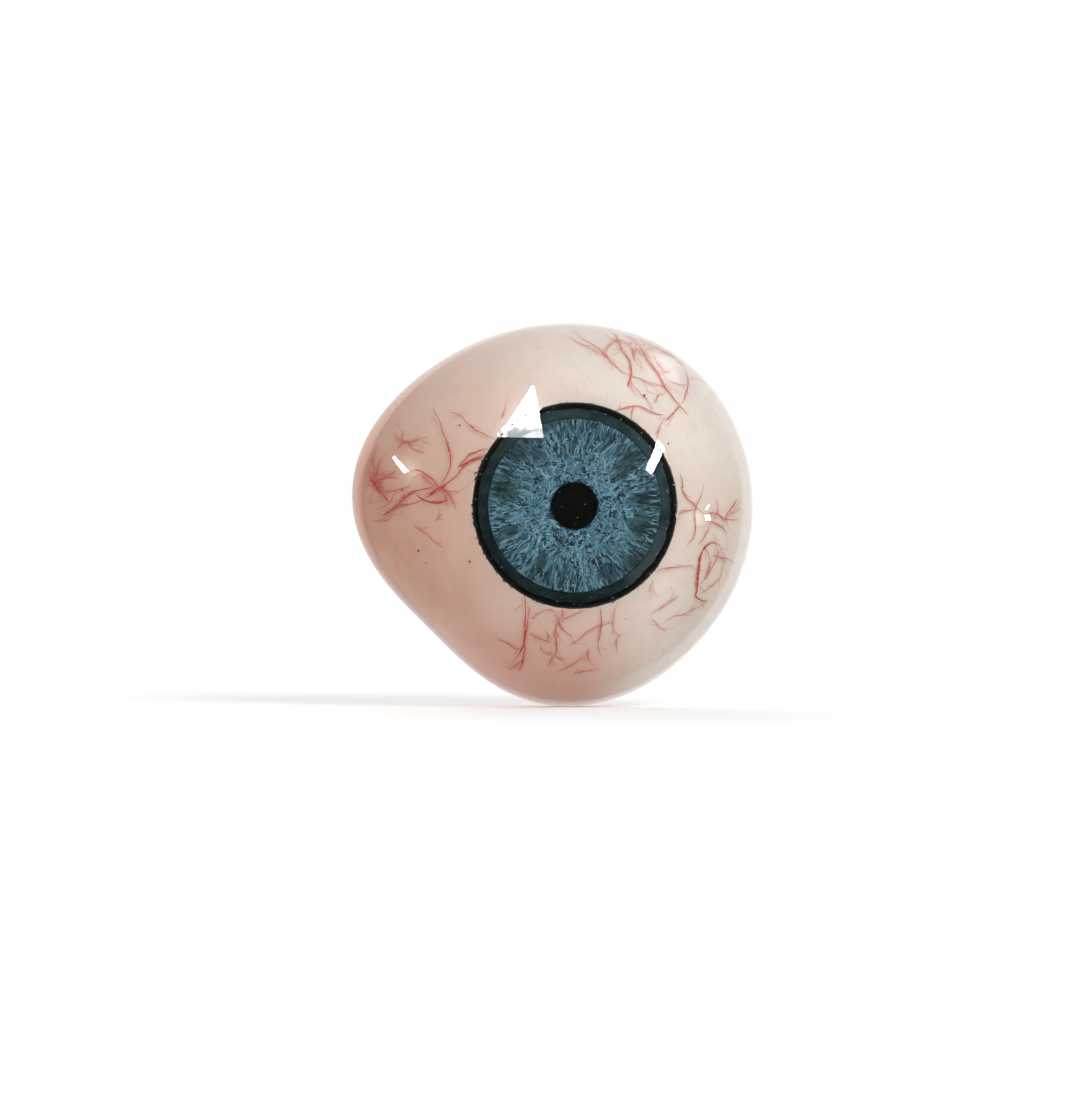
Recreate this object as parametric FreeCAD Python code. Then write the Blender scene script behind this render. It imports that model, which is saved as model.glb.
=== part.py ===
import FreeCAD, Part
import math
import os

from FreeCAD import Vector

os.makedirs("parts", exist_ok=True)

# Layered artificial eye, in millimetres. It looks along -Y with +Z up, and its pointed end is at -X.
# The origin is the deepest point of the hollow back, on the line of sight.
# "Front" below is the distance forward of the origin, so it is -Y.

# Outline: reach from the line of sight to the edge at each clock hour, as seen from in front
reach_at_hour = {
    12: 10.9, 1: 11.35, 2: 11.6, 3: 11.6, 4: 11.6, 5: 11.8,
    6: 11.9, 7: 10.95, 8: 11.0, 9: 12.35, 10: 11.85, 11: 11.0,
}

# White dome, before the clear front is added
equator_front = -4.2
dome_height = 8.6
round_until_angle = 36.0
band_angle = 8.0

# Edge roll and hollow back
rim_radius = 1.7
rim_land = 0.35
rim_steps = 4
bowl_radius = 10.0
bowl_steps = 5
lip_radius = 0.9
lip_steps = 3

# Clear front
cap_thickness = 0.8
cornea_radius = 8.0
cornea_rise = 1.7
cornea_blend = 3.0
cornea_steps = 6
blend_steps = 3
parting_rise = 0.8

# Painted disc, in a recess whose floor lies this far below the top of the dome
recess_depth = 2.85
backing_thickness = 0.35
iris_radius = 4.5
ring_width = 0.7
black_rim_width = 0.3
paint_thickness = 0.12
pupil_radius = 1.15
pupil_thickness = 0.08
seat_clearance = 0.03

# Threads, which lie in two layers so that they can cross
thread_thickness = 0.06
thread_clearance = 0.03
band_allowance = 0.03
station_spacing = 0.5
tip_share = 0.4

# Each thread: its layer (0 on the white, 1 under the cap), its width, and its way as (x, z) points
threads = {
    "thread_nasal_star": [
        (0, 0.12, [(-7.7, 1.3), (-7.2, 2.1), (-7.1, 2.7), (-7.2, 3.4), (-7.5, 4.5), (-7.9, 5.7)]),
        (0, 0.16, [(-7.4, 1.2), (-7.0, 1.6), (-6.7, 2.0)]),
        (0, 0.12, [(-8.0, 1.2), (-8.2, 1.5), (-8.6, 1.9), (-9.1, 2.1)]),
        (0, 0.18, [(-7.9, 0.9), (-8.4, 0.5)]),
        (0, 0.12, [(-7.4, 0.95), (-7.1, 0.9), (-6.7, 0.7)]),
        (0, 0.12, [(-7.5, 0.6), (-7.1, 0.4), (-6.8, -0.2)]),
        (1, 0.20, [(-9.1, 0.65), (-8.6, 0.3), (-7.9, 0.2), (-7.3, 0.4)]),
    ],
    "thread_nasal_long": [
        (1, 0.14, [(-8.3, 1.2), (-9.0, 0.9), (-9.6, 0.5), (-10.2, -0.1), (-10.8, -0.6)]),
        (0, 0.12, [(-10.2, -0.3), (-9.4, 0.1), (-8.7, 0.2)]),
        (0, 0.10, [(-10.3, 0.1), (-9.8, 0.5), (-9.1, 0.8)]),
    ],
    "thread_nasal_edge": [
        (0, 0.12, [(-10.7, 1.5), (-10.7, 2.2), (-10.5, 3.0)]),
        (0, 0.10, [(-10.5, 1.5), (-10.2, 1.9), (-10.0, 2.2)]),
        (0, 0.12, [(-10.7, 1.1), (-10.6, 0.7), (-10.4, 0.35)]),
        (0, 0.10, [(-10.6, 1.2), (-10.0, 1.1), (-9.4, 1.2)]),
    ],
    "thread_nasal_cross": [
        (0, 0.12, [(-10.2, 4.0), (-9.7, 3.8), (-9.0, 4.0), (-8.2, 4.0)]),
        (1, 0.12, [(-9.9, 4.3), (-9.6, 3.8), (-9.1, 3.3), (-8.6, 3.1)]),
    ],
    "thread_nasal_limbus": [
        (0, 0.20, [(-6.6, 2.2), (-6.2, 2.5), (-5.7, 2.8)]),
        (1, 0.12, [(-6.6, 2.3), (-6.1, 2.9), (-5.7, 3.1), (-5.4, 3.4)]),
    ],
    "thread_nasal_upper": [
        (0, 0.14, [(-7.0, 5.5), (-6.4, 5.3), (-6.0, 4.7), (-5.4, 4.3), (-5.0, 4.1)]),
    ],
    "thread_nasal_low": [
        (0, 0.12, [(-9.1, -1.2), (-8.6, -1.6), (-8.0, -2.2), (-7.5, -2.5)]),
        (0, 0.10, [(-8.0, -0.9), (-7.6, -0.5)]),
        (0, 0.10, [(-11.0, -0.9), (-10.4, -1.0)]),
    ],
    "thread_upper_trunk": [
        (0, 0.16, [(3.9, 8.8), (4.4, 8.5), (4.9, 8.2), (5.4, 7.3), (5.8, 6.7), (6.5, 5.9), (7.1, 5.3)]),
        (1, 0.10, [(6.3, 5.8), (5.9, 5.4), (5.5, 4.9)]),
        (0, 0.12, [(6.8, 6.0), (7.0, 6.6), (7.0, 7.0)]),
        (0, 0.10, [(5.6, 6.6), (5.3, 6.5), (5.1, 6.0)]),
    ],
    "thread_upper_left": [
        (1, 0.14, [(0.4, 9.5), (1.3, 9.2), (1.9, 8.9), (2.4, 8.5), (3.1, 7.9), (3.5, 7.6)]),
        (0, 0.12, [(0.4, 9.1), (1.4, 8.9), (2.3, 8.4)]),
    ],
    "thread_upper_fan": [
        (0, 0.16, [(3.4, 9.0), (3.7, 8.6), (3.75, 8.2), (3.7, 7.7), (3.5, 7.2), (3.3, 6.9)]),
        (1, 0.12, [(3.9, 7.6), (4.7, 7.3), (5.8, 7.0)]),
        (1, 0.10, [(3.7, 7.3), (4.2, 6.5)]),
        (0, 0.10, [(4.4, 6.4), (4.8, 5.8)]),
    ],
    "thread_upper_arch": [
        (0, 0.14, [(2.6, 5.9), (3.1, 6.0), (3.7, 6.0), (4.3, 5.8), (4.9, 5.5), (5.4, 5.2)]),
        (0, 0.10, [(3.6, 5.8), (3.6, 5.4)]),
        (0, 0.10, [(5.5, 4.9), (5.1, 4.5), (5.0, 4.0)]),
    ],
    "thread_upper_right": [
        (1, 0.18, [(4.8, 8.4), (5.4, 8.1), (6.0, 7.7), (6.4, 7.3)]),
        (0, 0.10, [(5.5, 7.9), (5.7, 7.6), (6.0, 7.4), (6.3, 7.4)]),
        (0, 0.10, [(5.9, 7.1), (6.3, 6.9), (6.7, 7.0)]),
    ],
    "thread_temporal_star": [
        (0, 0.14, [(6.4, 1.9), (6.5, 1.2), (6.6, 0.8), (7.0, 0.3), (7.9, -0.5)]),
        (0, 0.14, [(8.5, -0.5), (9.4, -0.8), (10.2, -0.8)]),
        (1, 0.12, [(8.2, -0.8), (8.8, -1.1), (9.4, -1.6)]),
        (1, 0.12, [(7.9, 1.2), (7.8, 0.7), (7.4, 0.1), (7.3, -0.6), (7.2, -1.6), (6.8, -2.4)]),
        (0, 0.12, [(6.4, -0.6), (6.5, -0.4), (7.1, -0.3)]),
        (0, 0.10, [(10.2, 0.4), (9.8, -0.4)]),
        (0, 0.10, [(8.1, -1.2), (7.9, -1.8), (7.6, -2.2)]),
    ],
    "thread_temporal_loop": [
        (1, 0.20, [(8.9, -2.4), (8.4, -2.2), (7.9, -2.6), (7.6, -3.2), (7.6, -4.0), (7.6, -4.8),
                   (7.8, -5.4), (8.3, -5.6)]),
        (0, 0.12, [(8.1, -2.8), (8.4, -3.2), (8.3, -4.0), (7.9, -4.6)]),
        (0, 0.12, [(8.9, -2.7), (9.0, -3.1), (8.8, -3.7), (8.3, -4.5)]),
        (0, 0.12, [(9.3, -3.6), (9.2, -4.2), (8.7, -4.9), (8.0, -5.2)]),
        (1, 0.12, [(9.1, -3.1), (9.5, -3.2), (9.8, -3.3)]),
    ],
    "thread_temporal_low": [
        (0, 0.14, [(4.9, -3.9), (5.6, -3.6), (6.5, -3.6), (7.3, -3.5)]),
        (0, 0.10, [(4.8, -4.4), (4.7, -4.8), (4.4, -5.2)]),
        (0, 0.12, [(4.8, -6.2), (5.7, -5.8), (6.4, -5.2)]),
        (0, 0.12, [(5.7, -6.8), (6.2, -6.5), (6.9, -6.4), (7.6, -6.1), (8.2, -5.9)]),
        (0, 0.10, [(4.9, -6.7), (5.3, -7.0), (5.9, -7.3)]),
    ],
    "thread_lower_trunk": [
        (0, 0.16, [(-2.9, -5.8), (-2.8, -6.5), (-2.7, -7.9), (-2.8, -8.6), (-3.2, -9.2)]),
        (1, 0.12, [(-2.5, -6.0), (-2.5, -6.7), (-2.6, -7.8), (-2.6, -8.7), (-2.7, -9.6)]),
        (1, 0.12, [(-4.3, -7.7), (-3.6, -8.1), (-3.0, -8.4)]),
        (0, 0.12, [(-2.4, -7.5), (-2.0, -7.8), (-1.4, -7.9)]),
    ],
    "thread_lower_fork": [
        (0, 0.14, [(-0.8, -7.0), (-0.9, -7.5), (-0.8, -8.1), (-0.8, -8.7), (-1.1, -9.4)]),
        (0, 0.12, [(-0.5, -7.0), (-0.3, -7.4), (0.1, -7.7)]),
        (0, 0.10, [(-0.6, -6.4), (-0.7, -6.7)]),
        (0, 0.10, [(-1.4, -6.3), (-1.0, -6.8)]),
        (0, 0.12, [(-0.4, -6.9), (0.1, -6.6), (0.7, -6.4)]),
        (1, 0.10, [(-2.3, -6.7), (-1.9, -6.5), (-1.4, -6.3)]),
        (1, 0.10, [(-1.7, -8.4), (-1.3, -8.7), (-1.0, -8.8)]),
    ],
    "thread_lower_right": [
        (0, 0.12, [(0.1, -8.2), (0.6, -7.7), (1.3, -7.2), (1.9, -7.0), (2.4, -6.8)]),
        (1, 0.14, [(1.6, -6.3), (1.7, -6.7), (1.7, -7.5), (1.7, -8.2), (1.9, -8.8)]),
        (1, 0.12, [(2.9, -5.8), (2.7, -6.1), (2.5, -6.7), (2.5, -7.5)]),
        (0, 0.10, [(1.2, -8.4), (1.2, -8.9), (1.6, -9.4)]),
        (0, 0.10, [(-0.5, -9.6), (0.1, -9.4), (0.8, -8.9)]),
    ],
}

# Sizes that follow from the ones above
mean_reach = sum(reach_at_hour.values()) / len(reach_at_hour)
rear_front = equator_front - rim_radius
dome_front = equator_front + dome_height
cornea_front = dome_front + cornea_rise
parting_front = equator_front + parting_rise
bed_depth = 2 * thread_thickness + 3 * thread_clearance + band_allowance
core_inset = cap_thickness + bed_depth
bowl_lean = math.acos(1 + rear_front / (bowl_radius + lip_radius))
mouth_out = bowl_radius * math.sin(bowl_lean)
lip_width = lip_radius * math.sin(bowl_lean)
recess_floor_front = dome_front - recess_depth
backing_radius = iris_radius + ring_width + black_rim_width
iris_front = recess_floor_front + backing_thickness + seat_clearance
pupil_front = iris_front + paint_thickness + seat_clearance
seat_front = pupil_front + pupil_thickness + seat_clearance
top_angle = 25.0
ring_points = 36


def reach(turn):
    """Outline reach at a turn in radians from 3 o'clock, smooth through the twelve hours."""
    total = 0.0
    for hour, value in reach_at_hour.items():
        away = turn - math.radians(90 - 30 * hour)
        share = 1 + math.cos(6 * away)
        for wave in range(1, 6):
            share += 2 * math.cos(wave * away)
        total += share * value / 12
    return total


def outline_share(angle):
    """0 where the dome is still round, rising smoothly to 1 at the equator."""
    along = (angle - round_until_angle) / (90 - round_until_angle)
    along = min(max(along, 0.0), 1.0)
    return along * along * (3 - 2 * along)


def dome_spot(angle, turn, inset):
    """Distance out and distance front of a dome layer, inset from the outer one."""
    share = outline_share(angle)
    width = mean_reach + (reach(turn) - mean_reach) * share - inset
    slope = math.radians(angle)
    return width * math.sin(slope), equator_front + (dome_height - inset) * math.cos(slope)


def place(out, front, turn):
    return Vector(out * math.cos(turn), -front, out * math.sin(turn))


def ring(spot):
    """Closed smooth wire; spot(turn) gives its distance out and front."""
    points = []
    for step in range(ring_points):
        turn = 2 * math.pi * step / ring_points
        out, front = spot(turn)
        points.append(place(out, front, turn))
    curve = Part.BSplineCurve()
    curve.interpolate(Points=points, PeriodicFlag=True, Parameters=list(range(ring_points + 1)))
    return Part.Wire(curve.toShape())


def disc(radius, back, front):
    """Round plate about the line of sight, from one front distance to a larger one."""
    return Part.makeCylinder(radius, front - back, Vector(0, -back, 0), Vector(0, -1, 0))


def loft(rings):
    """Solid of ruled bands through the rings, which a mesher follows with few triangles."""
    return Part.makeLoft(rings, True, True)


def dome_rings(inset, first_angle):
    """Rings of a dome layer from an angle off the line of sight down to the equator."""
    steps = math.ceil((90 - first_angle) / band_angle)
    angles = [first_angle + (90 - first_angle) * step / steps for step in range(steps + 1)]
    return [ring(lambda turn, angle=angle: dome_spot(angle, turn, inset)) for angle in angles]


def roll_rings():
    """Rings of the outer surface where it rolls round from the equator to the rear."""
    rings = []
    for step in range(1, rim_steps + 1):
        slope = math.pi / 2 * step / rim_steps
        back = rim_radius * math.sin(slope)
        inward = rim_radius * (1 - math.cos(slope))
        front = equator_front - back
        rings.append(ring(lambda turn, front=front, inward=inward: (reach(turn) - inward, front)))
    return rings


def blend_centre(angle):
    """Centre of a blend circle that touches the dome from outside at this angle."""
    out, front = dome_spot(angle, 0.0, 0.0)
    slope = math.radians(angle)
    lean = math.atan2(math.sin(slope) / mean_reach, math.cos(slope) / dome_height)
    return out + cornea_blend * math.sin(lean), front + cornea_blend * math.cos(lean)


def blend_start_angle():
    """Dome angle at which the blend circle also touches the cornea's ball, by halving."""
    low = 0.0
    high = round_until_angle
    for _ in range(40):
        middle = (low + high) / 2
        out, front = blend_centre(middle)
        if math.hypot(out, front - cornea_front + cornea_radius) < cornea_radius + cornea_blend:
            low = middle
        else:
            high = middle
    return low


def bulge_rings(dome_angle):
    """Round rings down the cornea's ball and through the hollow blend to the dome."""
    centre_out, centre_front = blend_centre(dome_angle)
    ball_front = cornea_front - cornea_radius
    lean = math.atan2(centre_out, centre_front - ball_front)
    rings = [Part.Vertex(Vector(0, -cornea_front, 0))]
    for step in range(1, cornea_steps + 1):
        slope = lean * step / cornea_steps
        out = cornea_radius * math.sin(slope)
        front = ball_front + cornea_radius * math.cos(slope)
        rings.append(ring(lambda turn, out=out, front=front: (out, front)))
    dome_out, dome_front = dome_spot(dome_angle, 0.0, 0.0)
    end = math.atan2(centre_out - dome_out, centre_front - dome_front)
    for step in range(1, blend_steps):
        slope = lean + (end - lean) * step / blend_steps
        out = centre_out - cornea_blend * math.sin(slope)
        front = centre_front - cornea_blend * math.cos(slope)
        rings.append(ring(lambda turn, out=out, front=front: (out, front)))
    return rings


def bowl_ring(out, front, share):
    """Ring of the hollow, round at share 0 and at 1 the same distance inside the outline all round."""
    even_wall = rim_radius + rim_land + lip_width
    return ring(lambda turn: (out + (reach(turn) - even_wall - mouth_out) * share, front))


def hollow():
    """Tool for the hollow back: a ball's bowl that runs smoothly into its rounded lip."""
    rings = [Part.Vertex(Vector(0, 0, 0))]
    for step in range(1, bowl_steps + 1):
        slope = bowl_lean * step / bowl_steps
        out = bowl_radius * math.sin(slope)
        front = bowl_radius * (math.cos(slope) - 1)
        rings.append(bowl_ring(out, front, (step / bowl_steps) ** 2))
    for step in range(1, lip_steps + 1):
        slope = bowl_lean * (1 - step / lip_steps)
        out = mouth_out + lip_width - lip_radius * math.sin(slope)
        front = rear_front + lip_radius * (1 - math.cos(slope))
        rings.append(bowl_ring(out, front, 1.0))
    return loft(rings)


def half_space(front, ahead):
    """Large block ahead of or behind a plane across the line of sight."""
    size = 60.0
    corner = Vector(-size / 2, -front - size if ahead else -front, -size / 2)
    return Part.makeBox(size, size, size, corner)


def bed_spot(x, z, inset):
    """Point of a dome layer at x and z, found by halving the angle from the line of sight."""
    turn = math.atan2(z, x)
    low = 0.0
    high = 90.0
    for _ in range(30):
        middle = (low + high) / 2
        out, front = dome_spot(middle, turn, inset)
        if out < math.hypot(x, z):
            low = middle
        else:
            high = middle
    return Vector(x, -front, z)


def bed_normal(x, z, inset):
    """Outward direction square to a dome layer at x and z."""
    nudge = 0.01
    here = bed_spot(x, z, inset)
    beside = bed_spot(x + nudge, z, inset) - here
    above = bed_spot(x, z + nudge, inset) - here
    return beside.cross(above).normalize()


def make_thread(layer, width, way):
    """Flattened, tapered thread along its way, lying on the bed in its own layer."""
    level = thread_clearance * (1 + layer) + thread_thickness * (layer + 0.5)
    inset = core_inset - level
    flat = Part.BSplineCurve()
    flat.interpolate(Points=[Vector(x, 0, z) for x, z in way])
    stations = max(2, math.ceil(flat.length() / station_spacing)) + 1
    spots = []
    lifts = []
    for point in flat.discretize(stations):
        spots.append(bed_spot(point.x, point.z, inset))
        lifts.append(bed_normal(point.x, point.z, inset))
    sections = []
    for index, spot in enumerate(spots):
        ahead = spots[min(index + 1, stations - 1)] - spots[max(index - 1, 0)]
        side = ahead.cross(lifts[index]).normalize()
        up = side.cross(ahead).normalize()
        along = index / (stations - 1)
        size = tip_share + (1 - tip_share) * math.sin(math.pi * along) ** 0.5
        half_width = side * (width * size / 2)
        half_rise = up * (thread_thickness * size / 2)
        corners = [
            spot + half_width, spot + half_width * 0.5 + half_rise, spot - half_width * 0.5 + half_rise,
            spot - half_width, spot - half_width * 0.5 - half_rise, spot + half_width * 0.5 - half_rise,
        ]
        sections.append(Part.makePolygon(corners + corners[:1]))
    return loft(sections)


def make_tuft(name):
    return Part.makeCompound([make_thread(*thread) for thread in threads[name]])


def make_scleral_base():
    """White body: the core under the clear front, the bare foot, the hollow back and the disc seat."""
    core = loft(dome_rings(core_inset, top_angle)).common(half_space(seat_front, False))
    foot = loft(dome_rings(0.0, top_angle) + roll_rings()).common(half_space(parting_front, False))
    body = core.fuse(foot).removeSplitter()
    body = body.cut(hollow())
    return body.cut(disc(backing_radius + seat_clearance, recess_floor_front, cornea_front))


def make_clear_front():
    """Clear shell over the whole front, thick over the painted disc, standing on the white foot."""
    dome_angle = blend_start_angle()
    outside = loft(bulge_rings(dome_angle) + dome_rings(0.0, dome_angle))
    inside = loft(dome_rings(cap_thickness, top_angle)).common(half_space(seat_front, False))
    return outside.cut(inside).common(half_space(parting_front, True))


def make_backing_disc():
    return disc(backing_radius, recess_floor_front, recess_floor_front + backing_thickness)


def make_iris_disc():
    return disc(iris_radius, iris_front, iris_front + paint_thickness)


def make_limbus_ring():
    """Ring of dark paint round the iris disc, at the same level."""
    outer = disc(iris_radius + ring_width, iris_front, iris_front + paint_thickness)
    return outer.cut(disc(iris_radius + seat_clearance, iris_front, iris_front + paint_thickness))


def make_pupil_disc():
    return disc(pupil_radius, pupil_front, pupil_front + pupil_thickness)


pieces = {
    "scleral_base": make_scleral_base(),
    "clear_front": make_clear_front(),
    "iris_backing_disc": make_backing_disc(),
    "iris_disc": make_iris_disc(),
    "limbus_ring": make_limbus_ring(),
    "pupil_disc": make_pupil_disc(),
}
for name in threads:
    pieces[name] = make_tuft(name)
for name, shape in pieces.items():
    shape.exportStep("parts/" + name + ".step")
    print(name, shape.isValid(), len(shape.Solids), round(shape.Volume, 4))
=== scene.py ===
import bmesh
import bpy
import math
import random

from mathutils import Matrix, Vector, noise


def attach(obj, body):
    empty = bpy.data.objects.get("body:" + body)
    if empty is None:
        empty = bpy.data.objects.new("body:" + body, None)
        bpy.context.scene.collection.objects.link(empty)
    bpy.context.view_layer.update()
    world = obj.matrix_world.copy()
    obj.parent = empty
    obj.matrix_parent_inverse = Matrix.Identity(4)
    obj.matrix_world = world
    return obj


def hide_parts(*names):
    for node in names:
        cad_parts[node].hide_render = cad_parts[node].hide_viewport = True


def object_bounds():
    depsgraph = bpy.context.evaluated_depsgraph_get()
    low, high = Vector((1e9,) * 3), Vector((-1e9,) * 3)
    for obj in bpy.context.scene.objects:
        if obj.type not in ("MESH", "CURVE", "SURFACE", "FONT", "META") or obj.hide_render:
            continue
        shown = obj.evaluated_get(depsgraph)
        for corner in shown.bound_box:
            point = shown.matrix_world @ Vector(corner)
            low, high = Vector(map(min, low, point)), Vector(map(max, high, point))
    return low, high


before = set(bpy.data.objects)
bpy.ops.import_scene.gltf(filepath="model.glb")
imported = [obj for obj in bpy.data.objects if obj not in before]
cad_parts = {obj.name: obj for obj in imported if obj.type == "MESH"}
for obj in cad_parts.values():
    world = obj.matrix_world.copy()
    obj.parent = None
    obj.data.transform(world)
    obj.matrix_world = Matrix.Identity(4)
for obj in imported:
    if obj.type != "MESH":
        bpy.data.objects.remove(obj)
cad_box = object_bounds()

# Looks of a layered artificial eye. Shapes below are in millimetres until a mesh is made.
# It looks along -Y with +Z up. "Front" is the distance forward of the origin, so it is -Y.
millimetre = 0.001
chance = random.Random(7)

# Outline: reach from the line of sight to the edge at each clock hour
reach_at_hour = {
    12: 10.9, 1: 11.35, 2: 11.6, 3: 11.6, 4: 11.6, 5: 11.8,
    6: 11.9, 7: 10.95, 8: 11.0, 9: 12.35, 10: 11.85, 11: 11.0,
}

# White dome and its edge
equator_front = -4.2
dome_height = 8.6
round_until_angle = 36.0
rim_radius = 1.7
rim_land = 0.35
bowl_radius = 10.0
lip_radius = 0.9

# Clear front
cap_thickness = 0.8
core_inset = 1.04
cornea_radius = 8.0
cornea_front = 6.1
cornea_blend = 3.0
parting_front = -3.4
seat_front = 2.19

# Painted disc
recess_floor_front = 1.55
recess_radius = 5.53
backing_radius = 5.5
backing_front = 1.9
iris_radius = 4.5
iris_back = 1.93
iris_front = 2.05
ring_radius = 5.2
pupil_radius = 1.15
pupil_back = 2.08
pupil_front = 2.16

# Torn edges and uneven faces of the painted plates
backing_fray = 0.06
ring_gap = 0.03
ring_inset = 0.07
ring_fray = 0.09
ring_relief = 0.008
ground_depth = 0.02
ground_fray = 0.02
ground_relief = 0.012
pupil_fray = 0.012

# Fibres, which lie between the white bed and the clear front
fibre_thickness = 0.06
fibre_level = 0.12
fibre_spacing = 0.08
hair_width = 0.022
highlight_height = 0.4
last_fibre_angle = 80.0

# How many small things are made, or tried
radial_tries = 1900
tangled_tries = 1700
crease_tries = 620
bright_tries = 420
glint_count = 120
fray_count = 520
edge_bubble_count = 55
inner_bubble_count = 26
fleck_count = 60
teased_per_strand = 3
hairs_per_strand = 2

# How finely the smooth surfaces are divided
turns = 240
dome_step = 2.0
rim_steps = 12
lip_steps = 8
bowl_steps = 32
cornea_steps = 36
blend_steps = 30
plate_steps = 24
sheet_cuts = 32
sharp_edge_angle = 30.0
bed_halvings = 24
blend_halvings = 40
view_halvings = 22

# Picture and camera: it stands to the pointed side of the line of sight, at eye height
picture_width = 1082
picture_height = 1094
millimetres_per_pixel = 0.0582
camera_azimuth = math.radians(-7.0)
camera_distance = 285.7
measured_front = 3.0
axis_pixel = (568.3, 505.7)
resin_index = 1.49

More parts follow.
